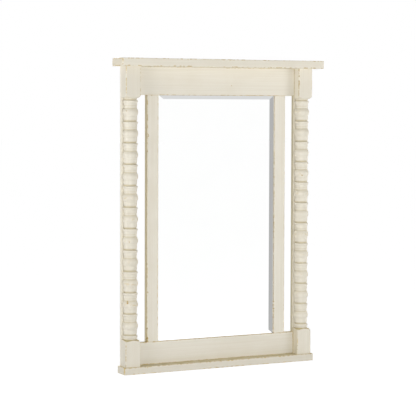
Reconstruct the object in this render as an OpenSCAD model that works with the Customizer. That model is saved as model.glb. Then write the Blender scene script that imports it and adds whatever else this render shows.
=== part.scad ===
// Painted wooden wall mirror with turned posts, a cornice, a plinth and a bevelled glass.
// X runs to the right as one looks into the glass, Y runs back towards the wall and Z runs up.
// The origin is the middle of the lower back edge of the plinth. All sizes are in millimetres.

/* [Overall] */
// Width over the two posts
frame_w = 767; // [640:1:1000]
// Height from the underside of the plinth to the top of the cornice
frame_h = 1143; // [900:1:1500]

/* [Cornice] */
// Thickness of the cap board
cornice_t = 29; // [24:1:45]
// Depth of the cap board, from the back to its front edge
cornice_d = 95; // [70:1:130]
// How far the cap board stands out past each post
cornice_overhang = 29.5; // [10:0.5:60]

/* [Plinth] */
// Thickness of the base board
plinth_t = 26.5; // [20:0.5:40]
// Depth of the base board, from the back to its front edge
plinth_d = 62; // [58:0.5:110]
// How far the base board stands out past each post
plinth_overhang = 8.5; // [4:0.5:40]
// Radius of the front corners of both boards, seen from above
board_corner_r = 4; // [1:0.5:10]
// Width of the eased long edges of both boards
board_ease = 1.6; // [0.5:0.1:4]

/* [Posts] */
// Width of the square blank that a post is turned from
post_w = 58; // [52:1:66]
// Depth of a post in front of its backing stile
post_d = 42; // [38:1:50]
// Height of the square block under the cornice, at its corners
top_block_h = 98; // [84:1:140]
// Height of the square block on the plinth, at its corners
bottom_block_h = 81; // [70:1:120]
// Height of the rounded shoulder between a block and the turning
shoulder_h = 16; // [10:0.5:24]
// Width of the eased front edges of a block
post_ease = 1.5; // [0.5:0.1:3]

/* [Turning] */
// Nominal length of one repeat of the turned pattern
repeat_l = 77.5; // [70:0.5:100]
// Depth of cut at the top of a bulge
crown_cut = 0.6; // [0.3:0.1:2]
// Depth of cut at the top of a narrow bead
bead_cut = 1.6; // [0.3:0.1:3]
// Depth of cut along the plain necks
neck_cut = 4.4; // [4:0.1:7]
// Depth of cut along the cove above a bulge
cove_cut = 5.5; // [4.5:0.1:8]
// Depth of cut at the bottom of a groove
groove_cut = 7.2; // [6.5:0.1:12]
// Length of the taper from a neck down into the next groove
taper_l = 7.4; // [4:0.1:10]
// Distance from the bottom of a groove to the bead below it
groove_l = 0.9; // [0.5:0.1:3]
// Length of a narrow bead
bead_l = 9; // [6:0.1:12]
// Length of the plain neck below a bead
upper_neck_l = 11.8; // [6:0.1:14]
// Length of the cove between the neck and the bulge
cove_l = 9.4; // [6:0.1:12]
// Length of a bulge
bulge_l = 27; // [20:0.5:30]
// Length of the turning between the upper shoulder and the first groove
lead_l = 6.5; // [4:0.5:12]
// Length of the turning between the last groove and the lower shoulder
foot_l = 18; // [16:0.5:26]

/* [Frame] */
// Thickness of the rails and of the inner stiles
rail_t = 21; // [18:0.5:30]
// Height of the top rail
top_rail_h = 103; // [80:1:140]
// Height of the bottom rail
bottom_rail_h = 82; // [70:1:120]
// Width of an inner stile
inner_stile_w = 44.5; // [42:0.5:70]
// Width of the open slot between a post and an inner stile
slot_w = 40; // [24:1:70]
// Thickness of the outer stile behind a post
outer_stile_t = 14; // [12:0.5:20]

/* [Glass and back] */
// Thickness of the wood in front of the glass
lip_t = 2.5; // [2:0.5:6]
// Width of the rebate that holds the glass
rebate_w = 10; // [7:0.5:12]
// Thickness of the mirror glass
glass_t = 4; // [3:0.5:6]
// Width of the ground bevel at the top and the bottom of the glass
bevel_w = 22; // [12:1:40]
// Width of the ground bevel at the sides of the glass
side_bevel_w = 29; // [12:1:40]
// Thickness that the bevel leaves at the edge of the glass
glass_edge_t = 2; // [1:0.1:2.8]
// Space between the edge of the glass and the wall of the rebate
glass_gap = 2; // [1:0.5:3]
// Length of a setting block
block_l = 30; // [20:1:60]
// Width of the spacer strips behind the glass
spacer_w = 8.5; // [5:0.5:9]
// Space between a spacer strip and the wall of the rebate
spacer_gap = 0.3; // [0.1:0.1:1]
// Thickness of the back panel
panel_t = 3; // [2:0.5:5]
// How far the back panel laps over the frame past the rebate
panel_lap = 12; // [10:0.5:15]
// Space round the back panel in its recess
panel_gap = 0.5; // [0.2:0.1:1]

/* [Dowels and screws] */
// Diameter of the dowels
dowel_d = 8; // [6:0.5:8]
// Length of the dowels
dowel_l = 40; // [30:1:50]
// Distance from a rail's edge to the middle of a dowel in its end
dowel_inset = 22; // [16:1:28]
// Spacing of the two dowels in the end of an inner stile
dowel_pitch = 18; // [14:1:20]
// Radial space round a dowel or a screw in its hole
hole_gap = 0.05; // [0.02:0.01:0.1]
// Radial space round a screw in the piece that it clamps
clearance_gap = 0.3; // [0.2:0.1:0.6]
// Diameter of the long screws in the posts, the cornice and the plinth
screw_d = 5; // [4:0.1:5.5]
// Length of the post screws
post_screw_l = 32; // [26:1:36]
// Length of the cornice and plinth screws
board_screw_l = 52; // [42:1:60]
// Diameter of the plugs over the cornice screws
plug_d = 12; // [10.5:0.5:16]
// Length of the plugs over the cornice screws
plug_l = 8; // [5:0.5:10]
// Diameter of the small screws in the back panel, the hangers and the bumpers
small_screw_d = 3; // [2.6:0.1:3.4]
// Length of the back panel's screws
panel_screw_l = 13; // [10:0.5:14]
// Length of the hanger screws
hanger_screw_l = 28; // [22:1:32]
// Length of the bumper screws
bumper_screw_l = 14; // [10:1:15]

/* [Hangers] */
// Distance from the underside of the cornice to the axis of a hanger ring
hang_drop = 32; // [28:1:36]
// Diameter of the wire of a hanger ring
wire_d = 3.5; // [3:0.1:4]
// Radial running space between the wire and the barrel of the strap
wire_gap = 0.06; // [0.02:0.01:0.1]
// Thickness of the strap
strap_t = 1.6; // [1.2:0.1:1.8]
// Width of the strap
strap_w = 16; // [12:0.5:18]
// Length of the strap below the axis of the ring
strap_l = 44; // [40:1:48]
// Width of a ring between the middles of its two sides
ring_w = 27; // [24:0.5:30]
// Height of a ring from its axis to the middle of its bow
ring_h = 20; // [18:0.5:21]
// Bending radius of the two corners of a ring
ring_corner_r = 3.5; // [2.5:0.5:5]
// Diameter of a wall bumper at its foot
bumper_d = 20; // [16:0.5:28]
// Distance from the top of the plinth to the middle of a bumper
bumper_rise = 22; // [16:1:26]

/* [Hidden] */

PAINT = "#E9E3D3";
BARE_WOOD = "#C9A878";
STEEL = "#B9BCBF";
ROUND = 64;
FINE = 24;
// How far a cut runs past the face that it starts from
past = 1;

// Heights
top_z = frame_h - cornice_t;
sight_hi = top_z - top_rail_h;
sight_lo = plinth_t + bottom_rail_h;
mid_z = (sight_lo + sight_hi) / 2;

// Widths, on the right-hand side
post_out = frame_w / 2;
post_in = post_out - post_w;
post_x = post_out - post_w / 2;
stile_out = post_in - slot_w;
sight_x = stile_out - inner_stile_w;
rebate_x = sight_x + rebate_w;
recess_x = rebate_x + panel_lap;

// Depths, all negative because they lie in front of the back plane
post_front = -(outer_stile_t + post_d);
axis_y = post_front + post_w / 2;
block_mid_y = -(outer_stile_t + post_d / 2);
rail_mid_y = -rail_t / 2;
glass_front = -(rail_t - lip_t);
glass_back = glass_front + glass_t;
spacer_t = rail_t - lip_t - glass_t - panel_t;

// Turning radii
blank_r = post_w / 2;
corner_r = blank_r * sqrt(2);
crown_r = blank_r - crown_cut;
bead_r = blank_r - bead_cut;
neck_r = blank_r - neck_cut;
cove_r = blank_r - cove_cut;
groove_r = blank_r - groove_cut;

// Turning heights, and how many repeats fit between the first and the last groove
shoulder_hi = top_z - top_block_h - shoulder_h;
shoulder_lo = plinth_t + bottom_block_h + shoulder_h;
first_groove = shoulder_hi - lead_l;
last_groove = shoulder_lo + foot_l;
turned_l = first_groove - last_groove;
repeats = max(1, round(turned_l / repeat_l));
period = turned_l / repeats;
// How far below its groove the neck, the cove and the bulge of a repeat end
neck_end = groove_l + bead_l + upper_neck_l;
cove_end = neck_end + cove_l;
bulge_end = cove_end + bulge_l;
// The foot of a bulge, the short steps beside a cove and the small cuts of the tapers
foot_r = neck_r - 0.7;
step_l = 1.4;
taper_step = 1.2;
groove_step = 1;
// How finely the arcs of the turned outline are divided
arc_step = 18;
bead_step = 30;
bulge_steps = 4;

// Where the pieces are fastened
screw_head_r = screw_d * 0.9;
screw_head_h = screw_d * 0.55;
small_head_r = small_screw_d * 1.1;
small_head_h = small_screw_d * 0.7;
dowel_r = dowel_d / 2;
outer_dowel_y = -outer_stile_t / 2;
stile_solid_x = (rebate_x + stile_out) / 2;
fixing_x = [-post_in / 2, 0, post_in / 2];
panel_screw_x = rebate_x + panel_lap / 2;
panel_screw_hi = sight_hi + rebate_w + panel_lap / 2;
panel_screw_lo = sight_lo - rebate_w - panel_lap / 2;
// Shares of the opening at which the back panel's screws and the setting blocks sit
side_shares = [-0.41, -0.14, 0.14, 0.41];
end_shares = [-0.37, 0, 0.37];
block_share = 0.25;

// Heights of the four screws through an outer stile into its post
post_screw_edge = 13;
post_screw_z = [
    top_z - top_block_h + post_screw_edge,
    shoulder_lo + (shoulder_hi - shoulder_lo) * 2 / 3,
    shoulder_lo + (shoulder_hi - shoulder_lo) / 3,
    plinth_t + bottom_block_h - post_screw_edge
];

// Hangers
wire_r = wire_d / 2;
barrel_bore_r = wire_r + wire_gap;
barrel_r = barrel_bore_r + strap_t;
hang_z = top_z - hang_drop;
strap_screw_drop = [ring_h + wire_r + small_head_r + 1, strap_l - small_head_r - 2];
bumper_z = plinth_t + bumper_rise;
bumper_t = 2 * barrel_r;
bumper_seat = bumper_t / 2;

// Puts a right-hand piece on the side asked for: 1 is right and -1 is left
module on_side(side) {
    if (side < 0) mirror([1, 0, 0]) children();
    else children();
}

// A plain block between two corners
module block(low, high) {
    translate(low) cube(high - low);
}

// Turns a piece that is built along Z, head up, so that its head faces the wall
module facing_back(x, y, z) {
    translate([x, y, z]) rotate([-90, 0, 0]) children();
}

// A cross recess in a screw head whose top is at z = 0
module cross_recess(head_r, depth) {
    slot_half = head_r * 0.12;
    slot_reach = head_r * 0.55;
    for (turn = [0, 90])
        rotate([0, 0, turn])
            block([-slot_reach, -slot_half, -depth], [slot_reach, slot_half, past]);
}

// A countersunk screw with its head's top at z = 0 and its point downwards
module countersunk_screw(r, head_r, head_h, length) {
    tip = 2 * r;
    difference() {
        union() {
            translate([0, 0, -head_h]) cylinder(r1 = r, r2 = head_r, h = head_h, $fn = FINE);
            translate([0, 0, -length + tip]) cylinder(r = r, h = length - tip - head_h, $fn = FINE);
            translate([0, 0, -length]) cylinder(r1 = r * 0.2, r2 = r, h = tip, $fn = FINE);
        }
        cross_recess(head_r, head_h * 0.6);
    }
}

// The space that a countersunk screw takes, wide through the first piece and tight beyond it
module countersunk_hole(r, head_r, head_h, clamped, length) {
    translate([0, 0, -head_h - hole_gap])
        cylinder(r1 = r + hole_gap, r2 = head_r + 2 * hole_gap, h = head_h + hole_gap, $fn = FINE);
    cylinder(r = head_r + 2 * hole_gap, h = past, $fn = FINE);
    translate([0, 0, -clamped]) cylinder(r = r + clearance_gap, h = clamped, $fn = FINE);
    translate([0, 0, -length - past]) cylinder(r = r + hole_gap, h = length + past, $fn = FINE);
}

// A pan head screw with the underside of its head at z = 0 and its point downwards
module pan_screw(r, head_r, head_h, length) {
    tip = 2 * r;
    difference() {
        union() {
            cylinder(r = head_r, h = head_h * 0.5, $fn = FINE);
            translate([0, 0, head_h * 0.5])
                cylinder(r1 = head_r, r2 = head_r * 0.65, h = head_h * 0.5, $fn = FINE);
            translate([0, 0, -length + tip]) cylinder(r = r, h = length - tip, $fn = FINE);
            translate([0, 0, -length]) cylinder(r1 = r * 0.2, r2 = r, h = tip, $fn = FINE);
        }
        translate([0, 0, head_h]) cross_recess(head_r, head_h * 0.6);
    }
}

// The round hole for the shank of a pan head screw, below z = 0
module pilot_hole(r, length) {
    translate([0, 0, -length - past]) cylinder(r = r, h = length + 2 * past, $fn = FINE);
}

// The holes for the two screws of the right-hand hanger strap
module strap_screw_places() {
    for (drop = strap_screw_drop) facing_back(post_x, strap_t, hang_z - drop) children();
}

// The places of the right-hand post's four screws, with their heads' tops on the back plane
module post_screw_places() {
    for (z = post_screw_z) facing_back(post_x, 0, z) children();
}

// The place of the right-hand bumper's screw, with the underside of its head at its seat
module bumper_screw_place() {
    facing_back(post_x, bumper_seat, bumper_z) children();
}

// The places of the back panel's screws, with the undersides of their heads on the panel
module panel_screw_places() {
    for (side = [-1, 1], share = side_shares)
        facing_back(side * panel_screw_x, 0, mid_z + share * (sight_hi - sight_lo)) children();
    for (z = [panel_screw_lo, panel_screw_hi], share = end_shares)
        facing_back(share * 2 * sight_x, 0, z) children();
}

// The places in plan where the cornice and the plinth are screwed to what stands between them
module board_screw_places() {
    for (x = fixing_x) translate([x, rail_mid_y, 0]) children();
    for (side = [-1, 1]) translate([side * post_x, block_mid_y, 0]) children();
}

// A dowel along X across the joint of a rail and the right-hand outer stile
module rail_dowel(z, r, length) {
    translate([post_in - length / 2, outer_dowel_y, z])
        rotate([0, 90, 0]) cylinder(r = r, h = length, $fn = FINE);
}

// The two dowels along Z in one end of the right-hand inner stile
module stile_dowel_pair(z, r, length) {
    for (dx = [-dowel_pitch / 2, dowel_pitch / 2])
        translate([stile_solid_x + dx, rail_mid_y, z - length / 2])
            cylinder(r = r, h = length, $fn = FINE);
}

// The heights of the dowels in the ends of the two rails
function rail_dowel_heights() = [
    plinth_t + dowel_inset, sight_lo - dowel_inset, sight_hi + dowel_inset, top_z - dowel_inset
];

// The dowel holes of both sides, a little deeper than the dowels
module rail_dowel_holes() {
    for (side = [-1, 1], z = rail_dowel_heights())
        on_side(side) rail_dowel(z, dowel_r + hole_gap, dowel_l + past);
}

module stile_dowel_holes() {
    for (side = [-1, 1], z = [sight_lo, sight_hi])
        on_side(side) stile_dowel_pair(z, dowel_r + hole_gap, dowel_l + past);
}

// The rebate for the glass and the shallow recess for the back panel
module glass_rebate() {
    block([-rebate_x, glass_front, sight_lo - rebate_w], [rebate_x, past, sight_hi + rebate_w]);
}

module panel_recess() {
    block([-recess_x, -panel_t, sight_lo - rebate_w - panel_lap],
          [recess_x, past, sight_hi + rebate_w + panel_lap]);
}

// Seen from above: a board with round front corners and a straight back edge on Y = 0
module board_plan(half_w, depth) {
    r = board_corner_r;
    translate([-half_w, -depth + r]) square([2 * half_w, depth - r]);
    translate([-half_w + r, -depth]) square([2 * half_w - 2 * r, depth]);
    for (side = [-1, 1]) translate([side * (half_w - r), -depth + r]) circle(r = r, $fn = ROUND);
}

// Seen from one end: the front edge is eased above and below
module board_end(depth, thick) {
    e = board_ease;
    polygon([[0, 0], [-depth + e, 0], [-depth, e], [-depth, thick - e], [-depth + e, thick], [0, thick]]);
}

// Seen from the front: both ends are eased above and below
module board_front(half_w, thick) {
    e = board_ease;
    polygon([
        [-half_w + e, 0], [half_w - e, 0], [half_w, e], [half_w, thick - e],
        [half_w - e, thick], [-half_w + e, thick], [-half_w, thick - e], [-half_w, e]
    ]);
}

// A cornice or plinth board with its underside at z = 0
module eased_board(half_w, depth, thick) {
    intersection() {
        linear_extrude(thick) board_plan(half_w, depth);
        translate([-half_w, 0, 0])
            rotate([90, 0, 90]) linear_extrude(2 * half_w) board_end(depth, thick);
        rotate([90, 0, 0]) linear_extrude(depth) board_front(half_w, thick);
    }
}

module cornice() {
    color(PAINT) difference() {
        translate([0, 0, top_z]) eased_board(post_out + cornice_overhang, cornice_d, cornice_t);
        board_screw_places() {
            translate([0, 0, frame_h - plug_l])
                countersunk_hole(screw_d / 2, screw_head_r, screw_head_h, cornice_t, board_screw_l);
            translate([0, 0, frame_h - plug_l])
                cylinder(r = plug_d / 2 + hole_gap, h = plug_l + past, $fn = FINE);
        }
    }
}

module plinth() {
    color(PAINT) difference() {
        eased_board(post_out + plinth_overhang, plinth_d, plinth_t);
        board_screw_places() mirror([0, 0, 1])
            countersunk_hole(screw_d / 2, screw_head_r, screw_head_h, plinth_t + past, board_screw_l);
    }
}

// A rail between the outer stiles, with the rebate, the recess and all its holes
module rail(low_z, high_z) {
    difference() {
        block([-post_in, -rail_t, low_z], [post_in, 0, high_z]);
        glass_rebate();
        panel_recess();
        rail_dowel_holes();
        stile_dowel_holes();
        translate([0, 0, frame_h - plug_l]) board_screw_places()
            pilot_hole(screw_d / 2 + hole_gap, board_screw_l);
        board_screw_places() mirror([0, 0, 1]) pilot_hole(screw_d / 2 + hole_gap, board_screw_l);
        panel_screw_places() pilot_hole(small_screw_d / 2 + hole_gap, panel_screw_l);
    }
}

module top_rail() {
    color(PAINT) rail(sight_hi, top_z);
}

module bottom_rail() {
    color(PAINT) rail(plinth_t, sight_lo);
}

module inner_stile(side) {
    color(PAINT) on_side(side) difference() {
        block([sight_x, -rail_t, sight_lo], [stile_out, 0, sight_hi]);
        glass_rebate();
        panel_recess();
        stile_dowel_holes();
        panel_screw_places() pilot_hole(small_screw_d / 2 + hole_gap, panel_screw_l);
    }
}

module outer_stile(side) {
    color(PAINT) on_side(side) difference() {
        block([post_in, -outer_stile_t, plinth_t], [post_out, 0, top_z]);
        rail_dowel_holes();
        post_screw_places()
            countersunk_hole(screw_d / 2, screw_head_r, screw_head_h, outer_stile_t + past, post_screw_l);
        strap_screw_places() pilot_hole(small_screw_d / 2 + hole_gap, hanger_screw_l);
        bumper_screw_place() pilot_hole(small_screw_d / 2 + hole_gap, bumper_screw_l);
    }
}

// Points of a narrow bead whose upper foot is at z
function bead_points(z) = [
    for (a = [0 : bead_step : 180])
        let (foot = a < 90 ? groove_r + groove_step : neck_r)
            [foot + (bead_r - foot) * sin(a), z - bead_l / 2 * (1 - cos(a))]
];

// Points of a bulge whose upper foot is at z, one arc on each side of its crown
function bulge_points(z) = [
    for (i = [-bulge_steps : bulge_steps])
        let (
            rise = crown_r - (i < 0 ? cove_r : foot_r),
            arc_r = (bulge_l * bulge_l / 4 + rise * rise) / (2 * rise),
            a = asin(bulge_l / 2 / arc_r) * i / bulge_steps
        )
            [crown_r - arc_r * (1 - cos(a)), z - bulge_l / 2 - arc_r * sin(a)]
];

// Points of one whole repeat below the groove at z
function repeat_points(z) = concat(
    [[groove_r, z]],
    bead_points(z - groove_l),
    [[neck_r, z - neck_end + step_l], [cove_r, z - neck_end]],
    bulge_points(z - cove_end),
    [
        [neck_r, z - bulge_end - step_l], [neck_r, z - period + taper_l],
        [neck_r - taper_step, z - period + taper_l / 2]
    ]
);

// Radius and height of the rounded shoulder at an angle from the corner of the block
function shoulder_point(z, way, a) =
    [neck_r + (corner_r - neck_r) * cos(a), z + way * shoulder_h * sin(a)];

// The whole outline of a post from top to bottom
function outline() = concat(
    [[0, top_z + past], [corner_r, top_z + past]],
    [for (a = [0 : arc_step : 90]) shoulder_point(top_z - top_block_h, -1, a)],
    [[neck_r - taper_step, first_groove + lead_l / 2]],
    [for (i = [0 : repeats - 1]) each repeat_points(first_groove - i * period)],
    [[groove_r, last_groove]],
    bead_points(last_groove - groove_l),
    [[neck_r, shoulder_lo + step_l], [cove_r, shoulder_lo]],
    [for (a = [90 - arc_step : -arc_step : 0]) shoulder_point(plinth_t + bottom_block_h, 1, a)],
    [[corner_r, plinth_t - past], [0, plinth_t - past]]
);

// Seen from above: the blank, sawn flat behind and eased at its two front edges
module blank_plan() {
    e = post_ease;
    polygon([
        [post_in, -outer_stile_t], [post_out, -outer_stile_t], [post_out, post_front + e],
        [post_out - e, post_front], [post_in + e, post_front], [post_in, post_front + e]
    ]);
}

module post(side) {
    color(PAINT) on_side(side) difference() {
        intersection() {
            translate([0, 0, plinth_t]) linear_extrude(top_z - plinth_t) blank_plan();
            translate([post_x, axis_y, 0]) rotate_extrude($fn = ROUND) polygon(outline());
        }
        post_screw_places() pilot_hole(screw_d / 2 + hole_gap, post_screw_l);
        strap_screw_places() pilot_hole(small_screw_d / 2 + hole_gap, hanger_screw_l);
        translate([0, 0, frame_h - plug_l]) board_screw_places()
            pilot_hole(screw_d / 2 + hole_gap, board_screw_l);
        board_screw_places() mirror([0, 0, 1]) pilot_hole(screw_d / 2 + hole_gap, board_screw_l);
    }
}

// The bevelled outline of the glass across one of its two sides, with the silvered face behind
module glass_section(half, bevel) {
    face = glass_t - glass_edge_t;
    polygon([
        [-half, glass_back], [half, glass_back], [half, glass_front + face],
        [half - bevel, glass_front], [-half + bevel, glass_front], [-half, glass_front + face]
    ]);
}

module mirror_glass() {
    half_w = rebate_x - glass_gap;
    low = sight_lo - rebate_w + glass_gap;
    high = sight_hi + rebate_w - glass_gap;
    color("#DDE3E6") intersection() {
        translate([0, 0, low]) linear_extrude(high - low) glass_section(half_w, side_bevel_w);
        translate([-half_w, 0, mid_z]) rotate([0, 90, 0])
            linear_extrude(2 * half_w) glass_section((high - low) / 2, bevel_w);
    }
}

// Rubber blocks that centre the glass in its rebate, two along each side
module setting_blocks() {
    front = glass_front + glass_t - glass_edge_t;
    color("#2E2C2A") for (side = [-1, 1], share = [-block_share, block_share]) {
        x = share * 2 * sight_x;
        z = mid_z + share * (sight_hi - sight_lo);
        on_side(side)
            block([rebate_x - glass_gap, front, z - block_l / 2], [rebate_x, glass_back, z + block_l / 2]);
        low = side < 0 ? sight_lo - rebate_w : sight_hi + rebate_w - glass_gap;
        block([x - block_l / 2, front, low], [x + block_l / 2, glass_back, low + glass_gap]);
    }
}

// A spacer strip that fills the depth between the glass and the back panel
module end_spacer(low_z) {
    half = rebate_x - spacer_gap;
    color(BARE_WOOD) block([-half, glass_back, low_z], [half, glass_back + spacer_t, low_z + spacer_w]);
}

module top_spacer() {
    end_spacer(sight_hi + rebate_w - spacer_gap - spacer_w);
}

module bottom_spacer() {
    end_spacer(sight_lo - rebate_w + spacer_gap);
}

module side_spacer(side) {
    x = rebate_x - spacer_gap;
    inset = rebate_w - 2 * spacer_gap - spacer_w;
    color(BARE_WOOD) on_side(side)
        block([x - spacer_w, glass_back, sight_lo - inset], [x, glass_back + spacer_t, sight_hi + inset]);
}

module back_panel() {
    x = recess_x - panel_gap;
    low = sight_lo - rebate_w - panel_lap + panel_gap;
    high = sight_hi + rebate_w + panel_lap - panel_gap;
    color("#8A6A48") difference() {
        block([-x, -panel_t, low], [x, 0, high]);
        panel_screw_places() pilot_hole(small_screw_d / 2 + clearance_gap, panel_t);
    }
}

module panel_screws() {
    color(STEEL) panel_screw_places()
        pan_screw(small_screw_d / 2, small_head_r, small_head_h, panel_screw_l);
}

module rail_dowels() {
    color(BARE_WOOD) for (side = [-1, 1], z = rail_dowel_heights())
        on_side(side) rail_dowel(z, dowel_r, dowel_l);
}

module stile_dowels() {
    color(BARE_WOOD) for (side = [-1, 1], z = [sight_lo, sight_hi])
        on_side(side) stile_dowel_pair(z, dowel_r, dowel_l);
}

module post_screws() {
    color(STEEL) for (side = [-1, 1]) on_side(side) post_screw_places()
        countersunk_screw(screw_d / 2, screw_head_r, screw_head_h, post_screw_l);
}

module cornice_screws() {
    color(STEEL) translate([0, 0, frame_h - plug_l]) board_screw_places()
        countersunk_screw(screw_d / 2, screw_head_r, screw_head_h, board_screw_l);
}

module cornice_plugs() {
    color(PAINT) translate([0, 0, frame_h - plug_l]) board_screw_places()
        cylinder(r = plug_d / 2, h = plug_l, $fn = FINE);
}

module plinth_screws() {
    color(STEEL) board_screw_places() mirror([0, 0, 1])
        countersunk_screw(screw_d / 2, screw_head_r, screw_head_h, board_screw_l);
}

// A steel strap with its upper end rolled round the straight side of the ring
module hanger_strap(side) {
    color(STEEL) on_side(side) difference() {
        union() {
            block([post_x - strap_w / 2, 0, hang_z - strap_l], [post_x + strap_w / 2, strap_t, hang_z]);
            translate([post_x - strap_w / 2, barrel_r, hang_z])
                rotate([0, 90, 0]) cylinder(r = barrel_r, h = strap_w, $fn = ROUND);
        }
        translate([post_x - strap_w / 2 - past, barrel_r, hang_z])
            rotate([0, 90, 0]) cylinder(r = barrel_bore_r, h = strap_w + 2 * past, $fn = ROUND);
        strap_screw_places() pilot_hole(small_screw_d / 2 + clearance_gap, strap_t);
    }
}

// A bent stretch of the ring's wire in the plane of the ring, round the origin
module wire_bend(bend_r, from, sweep) {
    rotate([90, 0, 0]) rotate([0, 0, from])
        rotate_extrude(angle = sweep, $fn = ROUND) translate([bend_r, 0]) circle(r = wire_r, $fn = FINE);
}

// A ring that hangs down from its straight side, which turns in the strap
module hanger_ring(side) {
    half = ring_w / 2;
    c = ring_corner_r;
    bow_z = -(ring_h - half);
    color(STEEL) on_side(side) translate([post_x, barrel_r, hang_z]) union() {
        translate([-half + c, 0, 0]) rotate([0, 90, 0])
            cylinder(r = wire_r, h = 2 * (half - c), $fn = ROUND);
        translate([half - c, 0, -c]) wire_bend(c, 0, 90);
        translate([-half + c, 0, -c]) wire_bend(c, 90, 90);
        for (x = [-half, half])
            translate([x, 0, bow_z]) cylinder(r = wire_r, h = -c - bow_z, $fn = ROUND);
        translate([0, 0, bow_z]) wire_bend(half, 180, 180);
    }
}

module hanger_screws() {
    color(STEEL) for (side = [-1, 1]) on_side(side) strap_screw_places()
        pan_screw(small_screw_d / 2, small_head_r, small_head_h, hanger_screw_l);
}

// Rubber bumpers low on the back, as thick as the hangers, so that the mirror hangs upright
module wall_bumpers() {
    color("#3A3836") for (side = [-1, 1]) on_side(side) difference() {
        facing_back(post_x, 0, bumper_z)
            cylinder(r1 = bumper_d / 2, r2 = bumper_d / 2 - 1, h = bumper_t, $fn = ROUND);
        facing_back(post_x, -past, bumper_z)
            cylinder(r = small_screw_d / 2 + clearance_gap, h = bumper_t, $fn = FINE);
        facing_back(post_x, bumper_seat, bumper_z)
            cylinder(r = small_head_r + clearance_gap, h = bumper_t, $fn = FINE);
    }
}

module bumper_screws() {
    color(STEEL) for (side = [-1, 1]) on_side(side) bumper_screw_place()
        pan_screw(small_screw_d / 2, small_head_r, small_head_h, bumper_screw_l);
}

cornice();
top_rail();
bottom_rail();
inner_stile(-1);  // left_inner_stile
inner_stile(1);  // right_inner_stile
outer_stile(-1);  // left_outer_stile
outer_stile(1);  // right_outer_stile
post(-1);  // left_post
post(1);  // right_post
plinth();
mirror_glass();
setting_blocks();
top_spacer();
bottom_spacer();
side_spacer(-1);  // left_spacer
side_spacer(1);  // right_spacer
back_panel();
panel_screws();
rail_dowels();
stile_dowels();
post_screws();
cornice_screws();
cornice_plugs();
plinth_screws();
hanger_strap(-1);  // left_hanger_strap
hanger_strap(1);  // right_hanger_strap
hanger_ring(-1);  // left_hanger_ring
hanger_ring(1);  // right_hanger_ring
hanger_screws();
wall_bumpers();
bumper_screws();
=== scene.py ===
import math

import bmesh
import bpy
from mathutils import Matrix, Vector


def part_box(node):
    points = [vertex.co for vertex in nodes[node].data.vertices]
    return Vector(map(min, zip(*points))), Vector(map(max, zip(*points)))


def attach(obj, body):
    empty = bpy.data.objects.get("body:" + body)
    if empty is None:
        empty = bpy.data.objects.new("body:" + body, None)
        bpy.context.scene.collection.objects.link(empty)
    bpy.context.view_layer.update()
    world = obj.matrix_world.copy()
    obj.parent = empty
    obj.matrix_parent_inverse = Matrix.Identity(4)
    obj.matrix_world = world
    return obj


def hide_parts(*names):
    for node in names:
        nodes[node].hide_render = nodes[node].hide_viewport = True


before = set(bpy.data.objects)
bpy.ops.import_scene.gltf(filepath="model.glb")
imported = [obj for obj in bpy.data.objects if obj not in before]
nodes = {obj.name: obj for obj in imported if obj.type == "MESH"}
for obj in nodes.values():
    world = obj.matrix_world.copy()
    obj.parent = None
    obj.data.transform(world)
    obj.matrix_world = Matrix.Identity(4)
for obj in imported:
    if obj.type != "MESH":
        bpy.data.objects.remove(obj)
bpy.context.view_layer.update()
MM = 0.001

# Colours, linear
CREAM = (0.800, 0.750, 0.640)
CREAM_DEEP = (0.72, 0.655, 0.515)
CREAM_LIGHT = (0.85, 0.81, 0.71)
# Painted shade on the faces that look into the slots beside the posts, left and right
LEFT_SLOT_SHADE = (0.80, 0.71, 0.485)
RIGHT_SLOT_SHADE = (0.62, 0.555, 0.375)
END_CREAM = (0.72, 0.66, 0.53)
RUBBED_WOOD = (0.55, 0.41, 0.15)
RUBBED_DARK = (0.38, 0.27, 0.095)
# Glaze colour, laid as antique glaze and as painted shade in corners, in the turnings' cuts and on faces that
# look up
GLAZE_AND_SHADE = (0.47, 0.385, 0.185)
CHIP = (0.42, 0.275, 0.06)
PINE = (0.58, 0.40, 0.22)
PINE_DARK = (0.36, 0.21, 0.10)
HARDBOARD = (0.16, 0.088, 0.042)
HARDBOARD_LIGHT = (0.24, 0.14, 0.07)
HARDBOARD_DARK = (0.11, 0.06, 0.03)
HARDBOARD_SMEAR = (0.34, 0.24, 0.15)
ZINC = (0.52, 0.53, 0.55)
ZINC_WARM = (0.58, 0.56, 0.49)
ZINC_DARK = (0.36, 0.37, 0.39)
RUBBER = (0.035, 0.033, 0.031)
RUBBER_DUST = (0.10, 0.095, 0.088)
SILVER = (0.992, 0.996, 0.994)
SILVER_HAZE = (0.985, 0.990, 0.988)
SILVER_AGED = (0.66, 0.65, 0.60)

# Scales of the streaks of wood whose grain runs along one axis, per metre
ALONG_X = (3.0, 260.0, 260.0)
ALONG_Y = (200.0, 40.0, 200.0)
ALONG_Z = (260.0, 260.0, 3.0)


def stretched(scale, factor):
    return tuple(s * factor for s in scale)


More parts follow.
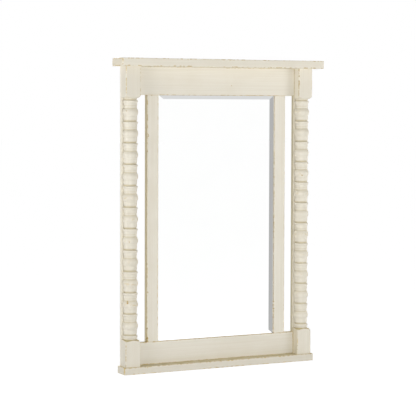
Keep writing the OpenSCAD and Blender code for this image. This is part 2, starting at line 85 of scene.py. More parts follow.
class Tree:
    """Builds the nodes of a material or of the world."""

    def __init__(self, owner, output="ShaderNodeOutputMaterial"):
        owner.use_nodes = True
        self.owner = owner
        self.tree = owner.node_tree
        self.tree.nodes.clear()
        self.out = self.tree.nodes.new(output)

    def node(self, kind, **settings):
        made = self.tree.nodes.new(kind)
        for key, value in settings.items():
            setattr(made, key, value)
        return made

    def link(self, source, target):
        if isinstance(source, bpy.types.NodeSocket):
            self.tree.links.new(source, target)
        else:
            target.default_value = source

    def position(self):
        return self.node("ShaderNodeTexCoord").outputs["Object"]

    def normal(self):
        return self.node("ShaderNodeNewGeometry").outputs["Normal"]

    def attribute(self, name):
        return self.node("ShaderNodeAttribute", attribute_name=name).outputs["Fac"]

    def math(self, operation, *values):
        made = self.node("ShaderNodeMath", operation=operation)
        for value, socket in zip(values, made.inputs):
            self.link(value, socket)
        return made.outputs[0]

    def times(self, a, b):
        return self.math("MULTIPLY", a, b)

    def larger(self, a, b):
        return self.math("MAXIMUM", a, b)

    def smaller(self, a, b):
        return self.math("MINIMUM", a, b)

    def vector(self, operation, *values):
        made = self.node("ShaderNodeVectorMath", operation=operation)
        for value, socket in zip(values, made.inputs):
            self.link(value, socket)
        return made.outputs["Value" if operation == "LENGTH" else "Vector"]

    def split(self, source):
        made = self.node("ShaderNodeSeparateXYZ")
        self.link(source, made.inputs[0])
        return made.outputs

    def noise(self, place, scale, detail=3.0, rough=0.55, offset=(0, 0, 0), distortion=0.0):
        """Noise at a place. The scale is one number, or one for each axis."""
        moved = self.vector("ADD", place, offset)
        scaled = self.vector("MULTIPLY", moved, scale if isinstance(scale, tuple) else (scale, scale, scale))
        made = self.node("ShaderNodeTexNoise")
        self.link(scaled, made.inputs["Vector"])
        made.inputs["Scale"].default_value = 1.0
        made.inputs["Detail"].default_value = detail
        made.inputs["Roughness"].default_value = rough
        made.inputs["Distortion"].default_value = distortion
        return made.outputs["Fac"]

    def step(self, value, low, high, out_low=0.0, out_high=1.0):
        made = self.node("ShaderNodeMapRange", interpolation_type="SMOOTHSTEP")
        self.link(value, made.inputs["Value"])
        for key, number in (("From Min", low), ("From Max", high), ("To Min", out_low), ("To Max", out_high)):
            self.link(number, made.inputs[key])
        return made.outputs["Result"]

    def mix(self, factor, a, b, blend="MIX"):
        made = self.node("ShaderNodeMix", data_type="RGBA", blend_type=blend)
        self.link(factor, made.inputs["Factor"])
        for value, socket in ((a, made.inputs["A"]), (b, made.inputs["B"])):
            self.link(value if isinstance(value, bpy.types.NodeSocket) else (*value, 1.0), socket)
        return made.outputs["Result"]

    def bump(self, height, strength, distance):
        made = self.node("ShaderNodeBump")
        made.inputs["Strength"].default_value = strength
        made.inputs["Distance"].default_value = distance
        self.link(height, made.inputs["Height"])
        return made.outputs["Normal"]

    def glow(self, colour, strength=1.0):
        made = self.node("ShaderNodeEmission")
        made.inputs["Color"].default_value = (*colour, 1.0)
        self.link(strength, made.inputs["Strength"])
        return made.outputs[0]

    def finish(self, colour, roughness, normal=None, metallic=0.0, specular=0.5, coat=0.0,
               coat_roughness=0.1):
        shader = self.node("ShaderNodeBsdfPrincipled")
        self.link(colour, shader.inputs["Base Color"])
        self.link(roughness, shader.inputs["Roughness"])
        shader.inputs["Metallic"].default_value = metallic
        shader.inputs["Specular IOR Level"].default_value = specular
        shader.inputs["Coat Weight"].default_value = coat
        shader.inputs["Coat Roughness"].default_value = coat_roughness
        if normal is not None:
            self.link(normal, shader.inputs["Normal"])
        self.surface(shader.outputs[0])
        return self.owner

    def surface(self, shader):
        self.link(shader, self.out.inputs["Surface"])


def new_material(name):
    return Tree(bpy.data.materials.new(name))


def edge_distance(t, place, low, high):
    """How far a point on a board lies from the board's nearest edge."""
    above_low = t.vector("SUBTRACT", place, tuple(low))
    below_high = t.vector("SUBTRACT", tuple(high), place)
    x, y, z = t.split(t.vector("MINIMUM", above_low, below_high))
    return t.larger(t.smaller(x, y), t.smaller(t.larger(x, y), z))


def bare_wood(t, place, along):
    """Colour and height of planed pine with the grain in one direction."""
    rings = t.noise(place, stretched(along, 0.12), detail=2.0, distortion=0.6)
    fibres = t.noise(place, along, detail=4.0, rough=0.6)
    grain = t.math("ADD", t.times(rings, 0.6), t.times(fibres, 0.4))
    return t.mix(t.step(grain, 0.35, 0.68), PINE, PINE_DARK), grain


# Sizes of the wear on the paint, in metres: how far glaze and painted shade reach into a corner, how wide an
# edge is rubbed through at a gain of 1, and how far the paint runs over the rim of the bare back: at most,
# less what, and how softly
CORNER_REACH = 6 * MM
RUB_WIDTH = 1.7 * MM
OVERRUN, OVERRUN_LESS, OVERRUN_SOFT = 17 * MM, 6.5 * MM, 2 * MM


class Paint(Tree):
    """Cream paint, brushed along the grain. Each method ages it, or paints shade on it, in one more way."""

    def __init__(self, name, along, seed, tone, shade_level):
        super().__init__(bpy.data.materials.new(name))
        self.place = self.position()
        self.along = along
        self.shift = (seed, seed * 1.7, seed * 0.6)
        self.streak = self.pattern(along, detail=5.0, rough=0.65)
        self.pores = self.pattern(stretched(along, 3.0), detail=2.0)
        self.ragged = self.pattern(420.0)
        self.colour = self.mix(self.step(self.streak, 0.30, 0.75), CREAM_LIGHT, CREAM)
        band = self.step(self.pattern(stretched(along, 0.22)), 0.48, 0.75)
        self.lay(CREAM_DEEP, self.times(band, 0.22))
        cloud = self.step(self.pattern(9.0, detail=4.0, rough=0.6), 0.42, 0.72)
        self.lay(CREAM_DEEP, self.math("MULTIPLY_ADD", cloud, 0.20, tone))
        # Painted shade: the whole piece is darkened by its shade level, set piece by piece for how brightly
        # it is lit
        self.colour = self.mix(1.0, self.colour, (shade_level, shade_level, shade_level), blend="MULTIPLY")

    def pattern(self, scale, **settings):
        return self.noise(self.place, scale, offset=self.shift, **settings)

    def lay(self, colour, mask):
        self.colour = self.mix(mask, self.colour, colour)

    def darken_sides(self, colour, side):
        """Darkens the faces that look along X: to the right for 1, to the left for -1, both for 0. On the
        stiles this is painted shade in the slots beside the posts; on the cornice it darkens both ends.
        """
        across = self.split(self.normal())[0]
        across = self.times(across, side) if side else self.math("ABSOLUTE", across)
        # Lays the darker colour on those sides: painted shade where they face into a slot
        self.lay(colour, self.times(self.step(across, 0.7, 0.9), 0.9))

    def glaze_and_shade(self, corners, cuts, shelf):
        """Antique glaze and painted shade: in narrow corners found by ambient occlusion, in the cuts of a
        turning, and painted shade on a shelf that faces up.
        """
        # Painted shade in narrow corners: darker where ambient occlusion finds them, laid in the glaze colour
        shade = self.node("ShaderNodeAmbientOcclusion", samples=8, only_local=False)
        shade.inputs["Distance"].default_value = CORNER_REACH
        darkened = self.times(self.step(shade.outputs["AO"], 0.85, 0.50), corners)
        if cuts:
            broken = self.step(self.pattern((90.0, 90.0, 30.0)), 0.25, 0.6, 0.75, 1.1)
            darkened = self.larger(darkened, self.times(self.attribute(cuts), broken))
        # Painted shade on faces that look up, where little light falls from above
        if shelf:
            up = self.step(self.split(self.normal())[2], 0.7, 0.9)
            spread = self.step(self.pattern(26.0, detail=4.0), 0.3, 0.7, 0.7, 1.0)
            darkened = self.larger(darkened, self.times(self.times(up, spread), shelf))
        self.lay(GLAZE_AND_SHADE, darkened)

    def rub(self, from_edge, gain, line, amount):
        """Rub-through along the edges: a thin line everywhere, and dashes where the wear is heavier."""
        where = self.step(self.pattern(6.0, detail=2.0), 0.40, 0.62, 0.25, 1.0)
        dashes = self.step(self.pattern(75.0, detail=2.0), 0.48, 0.58)
        width = self.math("ADD", self.times(self.times(where, dashes), RUB_WIDTH * gain), line * MM)
        width = self.times(width, self.step(self.ragged, 0.25, 0.75, 0.6, 1.4))
        rubbed = self.step(from_edge, width, self.times(width, 0.55))
        ring = self.step(from_edge, self.times(width, 1.9), width)
        fibres = self.step(self.noise(self.place, self.along), 0.40, 0.70)
        self.lay(RUBBED_WOOD, self.times(ring, 0.35))
        self.lay(self.mix(fibres, RUBBED_WOOD, RUBBED_DARK), self.times(rubbed, amount))
        self.bared = rubbed

    def knock(self):
        """A few small knocks away from the edges."""
        knocks = self.step(self.pattern((60.0, 60.0, 45.0), detail=1.0), 0.79, 0.81)
        self.lay(RUBBED_WOOD, self.times(knocks, 0.6))
        self.bared = self.larger(self.bared, knocks)

    def chip(self, chips):
        """Chips at chosen places: x, y, z and radius in millimetres."""
        for x, y, z, radius in chips:
            away = self.vector("LENGTH", self.vector("SUBTRACT", self.place, (x * MM, y * MM, z * MM)))
            away = self.times(away, self.step(self.ragged, 0.2, 0.8, 0.7, 1.5))
            chipped = self.step(away, radius * 1.1 * MM, radius * 0.8 * MM)
            self.lay(CHIP, self.times(chipped, 0.95))
            self.bared = self.larger(self.bared, chipped)

    def relief(self):
        """Height and roughness of the paint, and of the wood where it is bared."""
        brushed = self.math("MULTIPLY_ADD", self.streak, 0.5, self.times(self.pores, 0.3))
        self.height = self.math("SUBTRACT", brushed, self.times(self.bared, 0.9))
        sheen = self.step(self.streak, 0.3, 0.7, 0.42, 0.55)
        self.roughness = self.math("ADD", sheen, self.times(self.bared, 0.18))

    def bare_back(self, from_edge):
        """The back was never painted, apart from what ran over its rim."""
        raw, grain = bare_wood(self, self.place, self.along)
        behind = self.step(self.split(self.normal())[1], 0.6, 0.8)
        over = self.math("MULTIPLY_ADD", self.pattern(30.0, detail=4.0), OVERRUN, -OVERRUN_LESS)
        bare = self.times(behind, self.step(self.math("SUBTRACT", from_edge, over), -OVERRUN_SOFT, 0.0))
        self.lay(raw, bare)
        self.height = self.math("ADD", self.height, self.times(self.times(grain, bare), 0.6))
        self.roughness = self.math("ADD", self.roughness, self.times(bare, 0.2))


def paint(name, along, seed, box=None, wear=None, cuts=None, back_bare=True, edge_gain=1.0, corner_shade=0.25,
          top_shade=0.0, slot=None, side=1, tone=0.0, line=0.45, rub=0.85, shade_level=1.0, chips=()):
    """Worn paint. Distances to the edges come from a board's box, or from the attribute named by wear."""
    p = Paint(name, along, seed, tone, shade_level)
    if slot:
        p.darken_sides(slot, side)
    p.glaze_and_shade(corner_shade, cuts, top_shade)
    from_edge = edge_distance(p, p.place, *box) if box else p.attribute(wear)
    p.rub(from_edge, edge_gain, line, rub)
    p.knock()
    p.chip(chips)
    p.relief()
    if back_bare:
        p.bare_back(from_edge)
    return p.finish(p.colour, p.roughness, p.bump(p.height, 0.35, 0.25 * MM), specular=0.4)


def timber(name, along):
    t = new_material(name)
    colour, grain = bare_wood(t, t.position(), along)
    return t.finish(colour, t.step(grain, 0.3, 0.7, 0.55, 0.75), t.bump(grain, 0.3, 0.3 * MM), specular=0.3)


def hardboard(name):
    t = new_material(name)
    place = t.position()
    fibre = t.noise(place, 900.0, detail=5.0, rough=0.7)
    cloud = t.noise(place, 14.0, detail=4.0)
    smear = t.noise(place, (60.0, 60.0, 5.0))
    colour = t.mix(t.step(fibre, 0.35, 0.7), HARDBOARD, HARDBOARD_LIGHT)
    colour = t.mix(t.times(t.step(cloud, 0.4, 0.7), 0.4), colour, HARDBOARD_DARK)
    colour = t.mix(t.times(t.step(smear, 0.6, 0.8), 0.25), colour, HARDBOARD_SMEAR)
    return t.finish(colour, t.step(cloud, 0.3, 0.7, 0.5, 0.62), t.bump(fibre, 0.25, 0.15 * MM), specular=0.35)


def zinc(name):
    t = new_material(name)
    place = t.position()
    spangle = t.noise(place, 700.0)
    tint = t.noise(place, 120.0, detail=2.0)
    scratch = t.noise(place, (200.0, 3000.0, 3000.0), detail=2.0)
    colour = t.mix(t.step(tint, 0.3, 0.7), ZINC, ZINC_WARM)
    colour = t.mix(t.times(t.step(spangle, 0.45, 0.7), 0.35), colour, ZINC_DARK)
    rough = t.step(t.math("ADD", spangle, t.times(scratch, 0.4)), 0.45, 0.95, 0.24, 0.45)
    return t.finish(colour, rough, t.bump(scratch, 0.12, 0.05 * MM), metallic=1.0)


def rubber(name):
    t = new_material(name)
    place = t.position()
    grit = t.noise(place, 1500.0, detail=4.0)
    dust = t.noise(place, 150.0)
    colour = t.mix(t.step(dust, 0.45, 0.8), RUBBER, RUBBER_DUST)
    return t.finish(colour, t.step(grit, 0.3, 0.7, 0.6, 0.85), t.bump(grit, 0.3, 0.08 * MM), specular=0.3)


def silvered_glass(name):
    """Clean silver with a breath of haze, and aged in a ragged band along the rim."""
    t = new_material(name)
    place = t.position()
    haze = t.noise(place, 11.0, detail=4.0, rough=0.6)
    dust = t.noise(place, 1400.0, detail=2.0)
    from_rim = edge_distance(t, place, *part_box("mirror_glass"))
    aged = t.step(t.math("SUBTRACT", from_rim, t.times(haze, 4 * MM)), 7 * MM, 4 * MM)
    colour = t.mix(t.step(haze, 0.4, 0.75), SILVER, SILVER_HAZE)
    colour = t.mix(t.times(aged, 0.35), colour, SILVER_AGED)
    rough = t.math("ADD", t.step(haze, 0.45, 0.8, 0.0, 0.012), t.times(t.step(dust, 0.70, 0.80), 0.03))
    return t.finish(colour, rough, metallic=1.0, coat=0.25, coat_roughness=0.0)


# Posts, in millimetres: the sawn blank from the frame, then the outline of the turning
def box_mm(node):
    return [[round(v / MM, 3) for v in corner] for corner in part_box(node)]


(blank_left, blank_front, BOTTOM), (blank_right, BACK_Y, TOP) = box_mm("right_post")
BLANK = (blank_right - blank_left) / 2
POST_X = blank_left + BLANK
AXIS_Y = blank_front + BLANK
CORNER = BLANK * math.sqrt(2)
EDGE_EASE = 1.5
TOP_BLOCK, BOTTOM_BLOCK, SHOULDER = 98.0, 81.0, 16.0
CROWN, BEAD, NECK, COVE, GROOVE = 28.4, 27.4, 24.6, 23.5, 21.8
# The foot of a bulge, the rise out of a groove, and the fall of the taper into one
BULGE_FOOT, GROOVE_STEP, TAPER_STEP = NECK - 0.7, 1.0, 1.5
# Lengths within one repeat of the pattern, and how far below its groove each stretch ends
GROOVE_L, BEAD_L, NECK_L, COVE_L, BULGE_L = 0.9, 9.0, 11.8, 9.4, 27.0
BEAD_END = GROOVE_L + BEAD_L
NECK_END = BEAD_END + NECK_L
COVE_END = NECK_END + COVE_L
BULGE_END = COVE_END + BULGE_L
# The short steps: from a neck into a cove, how much of that lies past the neck's end, below a bulge, and
# above the lowest shoulder
COVE_STEP, COVE_STEP_LOW, BULGE_STEP, FOOT_STEP = 1.5, 0.2, 1.4, 4.0
# The whole fall into the next groove, its steep last part, and the lengths above the first groove and
# below the last one
TAPER_L, GROOVE_RISE = 7.4, 1.6
LEAD_L, FOOT_L = 6.5, 18.0
# How far past the corner a block's radius lies, so that the turning leaves it square
PAST_CORNER = 2
SHOULDER_HI = TOP - TOP_BLOCK - SHOULDER
SHOULDER_LO = BOTTOM + BOTTOM_BLOCK + SHOULDER
FIRST = SHOULDER_HI - LEAD_L
LAST = SHOULDER_LO + FOOT_L
REPEATS = 11
PERIOD = (FIRST - LAST) / REPEATS


def smooth(x):
    x = min(1.0, max(0.0, x))
    return x * x * (3 - 2 * x)


def arc(x, length, foot, crown):
    """Radius on a circular arc that rises from foot to crown and falls back over a length."""
    rise = crown - foot
    radius = (length * length / 4 + rise * rise) / (2 * rise)
    off = x - length / 2
    return crown - radius + math.sqrt(max(0.0, radius * radius - off * off))


def bead(s):
    """Radius on a narrow bead, which stands in the groove above and on the neck below."""
    turn = math.acos(max(-1.0, min(1.0, 1 - 2 * (s - GROOVE_L) / BEAD_L)))
    foot = GROOVE + GROOVE_STEP if turn < math.pi / 2 else NECK
    return foot + (BEAD - foot) * math.sin(turn)


def turned(s):
    """Radius at a distance below a groove, within one repeat of the pattern."""
    cove_top = NECK_END + COVE_STEP_LOW - COVE_STEP
    taper_top, groove_top = PERIOD - TAPER_L, PERIOD - GROOVE_RISE
    if s < GROOVE_L:
        return GROOVE + GROOVE_STEP * s / GROOVE_L
    if s < BEAD_END:
        return bead(s)
    if s < cove_top:
        return NECK
    if s < cove_top + COVE_STEP:
        return NECK + (COVE - NECK) * smooth((s - cove_top) / COVE_STEP)
    if s < COVE_END:
        return COVE
    if s < BULGE_END:
        return arc(s - COVE_END, BULGE_L, COVE if s < COVE_END + BULGE_L / 2 else BULGE_FOOT, CROWN)
    if s < BULGE_END + BULGE_STEP:
        return BULGE_FOOT + (NECK - BULGE_FOOT) * smooth((s - BULGE_END) / BULGE_STEP)
    if s < taper_top:
        return NECK
    if s < groove_top:
        return NECK - TAPER_STEP * smooth((s - taper_top) / (groove_top - taper_top))
    return NECK - TAPER_STEP - (NECK - TAPER_STEP - GROOVE) * (s - groove_top) / GROOVE_RISE


def shoulder(distance):
    """Radius on a rounded shoulder at a distance from its block."""
    return NECK + (CORNER - NECK) * math.sqrt(max(0.0, 1 - (distance / SHOULDER) ** 2))


def radius_at(z):
    """Radius of the turning at a height, large enough at the blocks to leave them square."""
    if z >= TOP - TOP_BLOCK:
        return CORNER + PAST_CORNER
    if z >= SHOULDER_HI:
        return shoulder(TOP - TOP_BLOCK - z)
    if z > FIRST:
        return NECK - (NECK - GROOVE) * (1 - (z - FIRST) / LEAD_L) ** 2
    if z > LAST:
        return turned((FIRST - z) % PERIOD)
    if z > LAST - BEAD_END:
        return turned(LAST - z)
    if z > SHOULDER_LO:
        return NECK - (NECK - COVE) * smooth((SHOULDER_LO + FOOT_STEP - z) / FOOT_STEP)
    if z > BOTTOM + BOTTOM_BLOCK:
        return shoulder(z - BOTTOM - BOTTOM_BLOCK)
    return CORNER + PAST_CORNER


# Where glaze and painted shade gather in a repeat: distance below the groove, reach up and down from there,
# and amount. These are the groove and the two creases of the cove, glaze with painted shade, and painted
# shade on the first stretch of the bulge, which faces up.
GLAZED_AND_SHADED = ((0.0, 7.5, 2.6, 0.56), (21.8, 1.8, 1.8, 0.36), (30.6, 5.5, 3.4, 0.44), (36.0, 6.0, 8.0, 0.12))
# The first groove reaches less far up, and above it the lead is evenly darker
FIRST_REACH_UP, LEAD_DARKENING, LEAD_DARKENING_FROM = 3.0, 0.18, 3.0
# The crease at the top of the lower shoulder: how far below that top, and its reach up and down
CREASE_DOWN, CREASE_REACH_UP, CREASE_REACH_DOWN = 0.5, 5.0, 6.0
# Painted shade on the side of the lower block that faces the glass, and on both blocks where a rail meets
# that side.
# A point belongs to that side when it lies no deeper than this.
BOTTOM_INNER_SHADE, CORNER_LINE, CORNER_LINE_REACH, SIDE_DEPTH = 0.28, 0.45, 6.0, 0.8
RAIL_FRONT = box_mm("top_rail")[0][1]
# Wear: what is taken off the distance to a cut corner, and the distance that counts at the top of a crest
# and for each millimetre below it. A turning wider than a crest, with a little to spare, is no crest.
CORNER_IN, CREST_BASE, CREST_SLOPE, CREST_SPARE = 0.8, 2.9, 2.2, 0.1


def glaze_and_shade_at(z):
    """How much glaze and painted shade the cuts of the turning hold at a height."""
    if z >= TOP - TOP_BLOCK or z <= BOTTOM + BOTTOM_BLOCK:
        return 0.0
    off = z - SHOULDER_LO + CREASE_DOWN
    strongest = smooth(1 - abs(off) / (CREASE_REACH_UP if off > 0 else CREASE_REACH_DOWN))
    for k in range(REPEATS + 1):
        for centre, upward, downward, amount in GLAZED_AND_SHADED:
            # Below the last groove there is only a bead
            if k == REPEATS and centre > BEAD_END:
                continue
            off = FIRST - k * PERIOD - z - centre
            reach = downward if off > 0 else upward
            if k == 0 and off < 0:
                reach = FIRST_REACH_UP
            strongest = max(strongest, amount * smooth(1 - abs(off) / reach))
    return max(strongest, LEAD_DARKENING) if z > FIRST + LEAD_DARKENING_FROM else strongest


def block_shade(inward, y, z):
    """How much painted shade the sides of a block hold. Inward is the distance from the axis towards the
    glass.
    """
    if inward <= BLANK - SIDE_DEPTH:
        return 0.0
    line = CORNER_LINE * smooth(1 - abs(y + AXIS_Y - RAIL_FRONT) / CORNER_LINE_REACH)
    return line + (BOTTOM_INNER_SHADE if z < (TOP + BOTTOM) / 2 else 0.0)


def wear_distance(x, y, turned_r):
    """Distance from a point to the nearest upright edge of the blank or crest of the turning."""
    corner = max(0.0, math.hypot(BLANK - abs(x), BLANK + y) - CORNER_IN)
    if turned_r >= CROWN + CREST_SPARE:
        return corner
    return min(corner, (CROWN - math.hypot(x, y)) * CREST_SLOPE + CREST_BASE)


# Spacing of the post's rows: over the turning, over a block, at both ends, and the closest two rows may lie
TURNED_ROW, BLOCK_ROW, END_ROW, CLOSEST = 1.15, 16, 0.5, 0.25
# How far the turned rows reach into a block, and how near the post's top a block row may lie
INTO_BLOCK = 1


def block_rows(low, high):
    """Heights between two others, at even steps from the lower one."""
    return [low + BLOCK_ROW * i for i in range(1, math.ceil((high - low) / BLOCK_ROW))]


def post_heights():
    low, high = BOTTOM + BOTTOM_BLOCK - INTO_BLOCK, TOP - TOP_BLOCK + INTO_BLOCK
    count = int((high - low) / TURNED_ROW)
    marks = [BOTTOM, BOTTOM + END_ROW, TOP - END_ROW, TOP]
    marks += block_rows(BOTTOM + END_ROW, low) + block_rows(high, TOP - INTO_BLOCK)
    marks += [low + (high - low) * i / count for i in range(count + 1)]
    for k in range(REPEATS + 1):
        groove = FIRST - k * PERIOD
        marks += [groove, groove - GROOVE_L, groove + GROOVE_RISE]
    kept = []
    for mark in sorted(set(round(m, 3) for m in marks)):
        if not kept or mark - kept[-1] > CLOSEST:
            kept.append(mark)
    return kept


# Even steps round the axis, the extra ones beside a corner in degrees, and the angle that counts as sharp
EVEN_ANGLES = 96
BESIDE_CORNER = (-3.2, -2.2, -1.4, -0.7, 0, 0.7, 1.4, 2.2, 3.2)
SHARP_ANGLE = 38


def post_angles():
    """Angles round the axis: even ones, and closer ones beside the four corners of the blank."""
    found = [2 * math.pi * i / EVEN_ANGLES for i in range(EVEN_ANGLES)]
    for x, y in ((BLANK, -BLANK), (-BLANK, -BLANK), (BLANK, BACK_Y - AXIS_Y), (-BLANK, BACK_Y - AXIS_Y)):
        corner = math.atan2(y, x)
        found += [(corner + math.radians(d)) % (2 * math.pi) for d in BESIDE_CORNER]
    return sorted(set(round(a, 5) for a in found))


def blank_reach(angle):
    """Distance from the axis to the outline of the blank, whose two front corners are cut at 45 degrees."""
    dx, dy = math.cos(angle), math.sin(angle)
    depth = BACK_Y - AXIS_Y if dy > 0 else BLANK
    reach = min(half / abs(part) for half, part in ((BLANK, dx), (depth, dy)) if abs(part) > 1e-9)
    if dy < 0:
        reach = min(reach, (2 * BLANK - EDGE_EASE) / (abs(dx) + abs(dy)))
    return reach


def add_row(bm, side, z, around):
    """One ring of vertices round a post, with the distances and amounts that its paint reads."""
    worn, filled = bm.verts.layers.float["wear"], bm.verts.layers.float["glaze_and_shade"]
    turned_r, darkened = radius_at(z), glaze_and_shade_at(z)
    row = []
    for angle, reach in around:
        r = min(turned_r, reach)
        x, y = r * math.cos(angle), r * math.sin(angle)
        v = bm.verts.new(((side * POST_X + x) * MM, (AXIS_Y + y) * MM, z * MM))
        v[worn] = wear_distance(x, y, turned_r) * MM
        # Glaze and painted shade from the turning's cuts, or painted shade on a block's sides
        v[filled] = darkened if turned_r < reach else block_shade(-side * x, y, z)
        row.append(v)
    return row


def make_post(name, side, node):
    around = [(angle, blank_reach(angle)) for angle in post_angles()]
    mesh = bpy.data.meshes.new(name)
    bm = bmesh.new()
    bm.verts.layers.float.new("wear")
    bm.verts.layers.float.new("glaze_and_shade")
    rows = [add_row(bm, side, z, around) for z in post_heights()]
    for lower, upper in zip(rows, rows[1:]):
        for i in range(len(around)):
            j = (i + 1) % len(around)
            bm.faces.new((lower[i], lower[j], upper[j], upper[i]))
    bm.faces.new(list(reversed(rows[0])))
    bm.faces.new(rows[-1])
    for f in bm.faces:
        f.smooth = True
    bmesh.ops.recalc_face_normals(bm, faces=bm.faces)
    bm.to_mesh(mesh)
    bm.free()
    mesh.set_sharp_from_angle(angle=math.radians(SHARP_ANGLE))
    piece = bpy.data.objects.new(name, mesh)
    bpy.context.scene.collection.objects.link(piece)
    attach(piece, "frame")
    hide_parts(node)
    return piece


def dress(node, material):
    piece = nodes[node]
    piece.data.materials.clear()
    piece.data.materials.append(material)


# Rounded edges of the boards: faces this near are joined, in millimetres, and edges this steep are rounded
WELD_GAP, EASE_SEGMENTS, EASE_ANGLE = 0.01, 3, 35


def ease(node, width):
    """Joins the split faces of a carried-over solid and rounds its edges."""
    piece = nodes[node]
    weld = piece.modifiers.new("weld", "WELD")
    weld.merge_threshold = WELD_GAP * MM
    bevel = piece.modifiers.new("ease", "BEVEL")
    bevel.width = width * MM
    bevel.segments = EASE_SEGMENTS
    bevel.limit_method = "ANGLE"
    bevel.angle_limit = math.radians(EASE_ANGLE)
    for f in piece.data.polygons:
        f.use_smooth = False


# Chips on the front left edge of a piece, as height and radius in millimetres
EDGE_CHIPS = {
    "cornice": [(1137, 3.2), (1121, 2.6)],
    "left_inner_stile": [(122, 6.0), (113, 4.5), (158, 3.4), (805, 2.6)],
    "right_inner_stile": [(228, 2.6), (216, 2.2), (203, 2.8), (168, 1.8)],
    "left_post": [(84, 2.2), (66, 2.6), (55, 2.0), (100, 1.6), (1106, 2.2), (1090, 2.0), (1068, 2.2)],
    "right_post": [(60, 2.0), (45, 1.8), (1095, 2.0), (1068, 2.4), (1046, 1.8)],
}
# Chips elsewhere, as x, y, z and radius in millimetres
FACE_CHIPS = {
    "cornice": [(-372, -95, 1143, 3.0)],
    "left_inner_stile": [(-280.4, -21, 862, 2.7), (-280.6, -21, 868, 2.0)],
    "left_post": [(-373.8, -45.2, 266, 3.8), (-372.6, -46.4, 259, 4.0), (-376.0, -43.0, 953, 2.4),
                  (-367.6, -50.1, 481, 2.4)],
    "right_post": [(344.0, -51.4, 710, 2.8)],
}


def chips_on(node):
    x, y, _ = box_mm(node)[0]
    return [(x, y, z, radius) for z, radius in EDGE_CHIPS.get(node, ())] + FACE_CHIPS.get(node, [])


# Painted boards: their grain, the width of their eased edges in millimetres, how their paint has aged, and
# the
# shade painted on it: its level, its corners, its tops and the faces in the slots
BOARDS = {
    "cornice": (ALONG_X, 0.9, dict(edge_gain=1.7, line=0.4, rub=0.8, tone=0.2, shade_level=0.985,
                                   slot=END_CREAM, side=0)),
    "plinth": (ALONG_X, 0.9, dict(edge_gain=1.6, line=0.9, tone=0.3, shade_level=0.875, top_shade=0.95)),
    "top_rail": (ALONG_X, 0.4, dict(edge_gain=0.8, shade_level=0.935, corner_shade=0.15)),
    "bottom_rail": (ALONG_X, 0.4, dict(line=0.7, shade_level=0.935, corner_shade=0.4, top_shade=0.9)),
    "left_inner_stile": (ALONG_Z, 0.5, dict(tone=0.12, shade_level=0.955, corner_shade=0.06,
                                            slot=LEFT_SLOT_SHADE, side=-1)),
    "right_inner_stile": (ALONG_Z, 0.5, dict(edge_gain=0.6, line=0.3, tone=0.06, shade_level=0.95,
                                             corner_shade=0.06, slot=RIGHT_SLOT_SHADE, side=1)),
    "left_outer_stile": (ALONG_Z, 0.5, dict(edge_gain=0.1, line=0.1, rub=0.3, shade_level=0.985, corner_shade=0.0,
                                            slot=LEFT_SLOT_SHADE, side=1)),
    "right_outer_stile": (ALONG_Z, 0.5, dict(edge_gain=0.3, line=0.1, shade_level=0.98, corner_shade=0.0,
                                             slot=RIGHT_SLOT_SHADE, side=-1)),
}
BOARD_SEED, POST_SEED, PLUG_SEED = 3.1, 20.0, 41.0
for i, (node, (along, width, aged)) in enumerate(BOARDS.items()):
    seed = BOARD_SEED * (i + 1)
    dress(node, paint("paint_" + node, along, seed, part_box(node), chips=chips_on(node), **aged))
    ease(node, width)
# Painted shade: the left post is set darker than the right one, as the lamps light it more
for side, node, shade_level in ((-1, "left_post", 0.91), (1, "right_post", 0.955)):
    piece = make_post(node + "_turned", side, node)
    piece.data.materials.append(paint("paint_" + node, ALONG_Z, POST_SEED + side, wear="wear", cuts="glaze_and_shade",
                                      edge_gain=1.6, line=0.1, tone=0.22, shade_level=shade_level, corner_shade=0.05,
                                      chips=chips_on(node), back_bare=False))
dress("cornice_plugs", paint("paint_plugs", ALONG_Y, PLUG_SEED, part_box("cornice_plugs"), back_bare=False))

# What shows behind, and what lies inside
dress("mirror_glass", silvered_glass("silvered_glass"))
dress("back_panel", hardboard("hardboard"))
STEEL = ("panel_screws", "post_screws", "cornice_screws", "plinth_screws", "hanger_screws", "bumper_screws",
         "left_hanger_strap", "right_hanger_strap", "left_hanger_ring", "right_hanger_ring")
for material, dressed in (
    (zinc("zinc"), STEEL),
    (rubber("rubber"), ("setting_blocks", "wall_bumpers")),
    (timber("pine_lying", ALONG_X), ("top_spacer", "bottom_spacer", "rail_dowels")),
    (timber("pine_standing", ALONG_Z), ("left_spacer", "right_spacer", "stile_dowels")),
):
    for node in dressed:
        dress(node, material)

# Camera, where the photograph's stood
IMAGE_PX, FOCAL_PX = 416, 1517.1
SENSOR, CLIP_END = 36, 200
SHIFT_Y = -0.10
EYE = Vector((-2.5067, -5.0732, 0.9739))
YAW, PITCH, ROLL = math.radians(26.032), math.radians(-2.302), math.radians(0.187)
forward = Vector((math.sin(YAW) * math.cos(PITCH), math.cos(YAW) * math.cos(PITCH), math.sin(PITCH)))
level_right = Vector((math.cos(YAW), -math.sin(YAW), 0))
level_up = level_right.cross(forward)
right = level_right * math.cos(ROLL) + level_up * math.sin(ROLL)
up = level_up * math.cos(ROLL) - level_right * math.sin(ROLL)
camera_data = bpy.data.cameras.new("camera")
camera_data.sensor_width = SENSOR
camera_data.lens = FOCAL_PX / IMAGE_PX * SENSOR
camera_data.shift_y = SHIFT_Y
camera_data.clip_end = CLIP_END
camera = bpy.data.objects.new("camera", camera_data)
camera.matrix_world = Matrix((
    (right.x, up.x, -forward.x, EYE.x), (right.y, up.y, -forward.y, EYE.y),
    (right.z, up.z, -forward.z, EYE.z), (0, 0, 0, 1)))
bpy.context.scene.collection.objects.link(camera)
bpy.context.scene.camera = camera


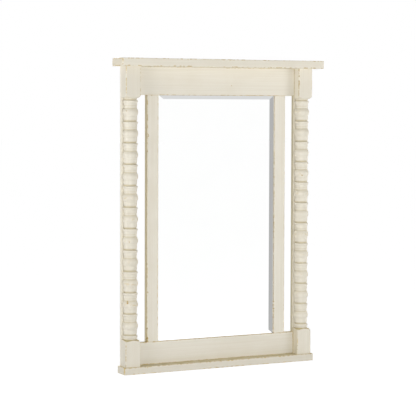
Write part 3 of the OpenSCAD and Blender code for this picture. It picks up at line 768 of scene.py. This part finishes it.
# Floor and light
def area_light(name, place, target, wide, tall, power):
    data = bpy.data.lights.new(name, "AREA")
    data.shape = "RECTANGLE"
    data.size, data.size_y = wide, tall
    data.energy = power
    lamp = bpy.data.objects.new(name, data)
    lamp.location = place
    lamp.rotation_euler = (Vector(target) - Vector(place)).to_track_quat("-Z", "Y").to_euler()
    bpy.context.scene.collection.objects.link(lamp)


def around_object(azimuth, away):
    """Place on the ground plan at an azimuth in degrees from the front, positive to the right."""
    angle = math.radians(azimuth)
    return away * math.sin(angle), -away * math.cos(angle)


# Soft light boxes: azimuth, distance, height, width and height of the box, and power
LIGHT_BOXES = {
    "far_left": (-75, 2.2, 1.00, 1.2, 0.5, 18.0),
    "left_rim": (-98, 2.6, 0.70, 1.6, 0.8, 5.7),
    "front": (-12, 3.2, 0.65, 1.6, 0.8, 27.8),
    "low_front": (-12, 3.2, 0.05, 1.6, 0.4, 6.5),
    "right": (50, 2.1, 0.90, 0.95, 0.5, 11.8),
    "right_rim": (98, 3.0, 0.50, 1.6, 0.8, 9.7),
    "behind": (180, 2.6, 2.60, 1.6, 0.8, 40.5),
    "above": (180, 0.6, 3.60, 1.6, 0.8, 13.0),
}
# A box points at the object a little below its own height, and at this height at most
AIM_BELOW, AIM_TOP = 0.05, 1.0
for name, (azimuth, away, height, wide, tall, power) in LIGHT_BOXES.items():
    aim = (0, 0, min(height - AIM_BELOW, AIM_TOP))
    area_light(name, (*around_object(azimuth, away), height), aim, wide, tall, power)


def stage_sheet(name, corners, material):
    mesh = bpy.data.meshes.new(name)
    mesh.from_pydata(corners, [], [(0, 1, 2, 3)])
    mesh.materials.append(material)
    piece = bpy.data.objects.new(name, mesh)
    bpy.context.scene.collection.objects.link(piece)
    return piece


def seen_directly(t):
    """1 for a ray of the camera, or one mirrored or let through by the object."""
    path = t.node("ShaderNodeLightPath").outputs
    return t.larger(t.larger(path["Is Camera Ray"], path["Is Glossy Ray"]), path["Is Transmission Ray"])


# Strength of the world's own light, and how much of the floor's white comes back from it
AMBIENT = 0.320
FLOOR_GREY, FLOOR_GREY_DARK = 0.80, 0.78
FLOOR_RETURN = (FLOOR_GREY + FLOOR_GREY_DARK) / 2


def pale_floor(name):
    """Matt grey that keeps the shadow, with enough glow to be seen as white."""
    t = new_material(name)
    grain = t.noise(t.position(), 40.0, detail=4.0)
    matt = t.node("ShaderNodeBsdfDiffuse")
    grey = t.mix(t.step(grain, 0.3, 0.7), (FLOOR_GREY,) * 3, (FLOOR_GREY_DARK,) * 3)
    t.link(grey, matt.inputs["Color"])
    both = t.node("ShaderNodeAddShader")
    t.link(matt.outputs[0], both.inputs[0])
    t.link(t.glow((1, 1, 1), t.times(seen_directly(t), 1 - FLOOR_RETURN * AMBIENT)), both.inputs[1])
    t.surface(both.outputs[0])
    return t.owner


def grey_card(name, grey):
    t = new_material(name)
    t.surface(t.glow((grey, grey, grey)))
    return t.owner


FLOOR_Z, FLOOR_REACH = -0.75, 60
floor_corners = [(x * FLOOR_REACH, y * FLOOR_REACH, FLOOR_Z) for x, y in ((-1, -1), (1, -1), (1, 1), (-1, 1))]
stage_sheet("floor", floor_corners, pale_floor("pale_floor"))

# A grey card that only reflections see, upright in front of the object between two azimuths
CARD_AZIMUTHS, CARD_AWAY, CARD_GREY = (39.5, 66.0), 1.85, 0.455
CARD_LOW, CARD_HIGH = -0.7, 2.0
card_from, card_to = (around_object(azimuth, CARD_AWAY) for azimuth in CARD_AZIMUTHS)
card_corners = [(*card_from, CARD_LOW), (*card_to, CARD_LOW), (*card_to, CARD_HIGH), (*card_from, CARD_HIGH)]
card = stage_sheet("side_card", card_corners, grey_card("side_card", CARD_GREY))
card.visible_camera = card.visible_diffuse = card.visible_shadow = card.visible_transmission = False

# World: an even light, and a white room, which the glass mirrors with a light grey ceiling
CEILING_FROM, CEILING_FULL, CEILING_GREY = math.sin(math.radians(3)), math.sin(math.radians(6)), 0.69
t = Tree(bpy.data.worlds.new("studio"), "ShaderNodeOutputWorld")
bpy.context.scene.world = t.owner
ambient = t.node("ShaderNodeBackground")
ambient.inputs["Color"].default_value = (1, 1, 1, 1)
ambient.inputs["Strength"].default_value = AMBIENT
backdrop = t.node("ShaderNodeBackground")
backdrop.inputs["Strength"].default_value = 1.0
direction = t.split(t.node("ShaderNodeTexCoord").outputs["Generated"])
ceiling = t.step(direction[2], CEILING_FROM, CEILING_FULL, 1.0, CEILING_GREY)
mirrored = t.node("ShaderNodeLightPath").outputs["Is Glossy Ray"]
white = t.larger(t.math("SUBTRACT", 1.0, mirrored), ceiling)
room = t.node("ShaderNodeCombineColor")
for socket in room.inputs:
    t.link(white, socket)
t.link(room.outputs[0], backdrop.inputs["Color"])
choose = t.node("ShaderNodeMixShader")
for source, socket in zip((seen_directly(t), ambient.outputs[0], backdrop.outputs[0]), choose.inputs):
    t.link(source, socket)
t.surface(choose.outputs[0])

bpy.context.scene.view_settings.view_transform = "Standard"
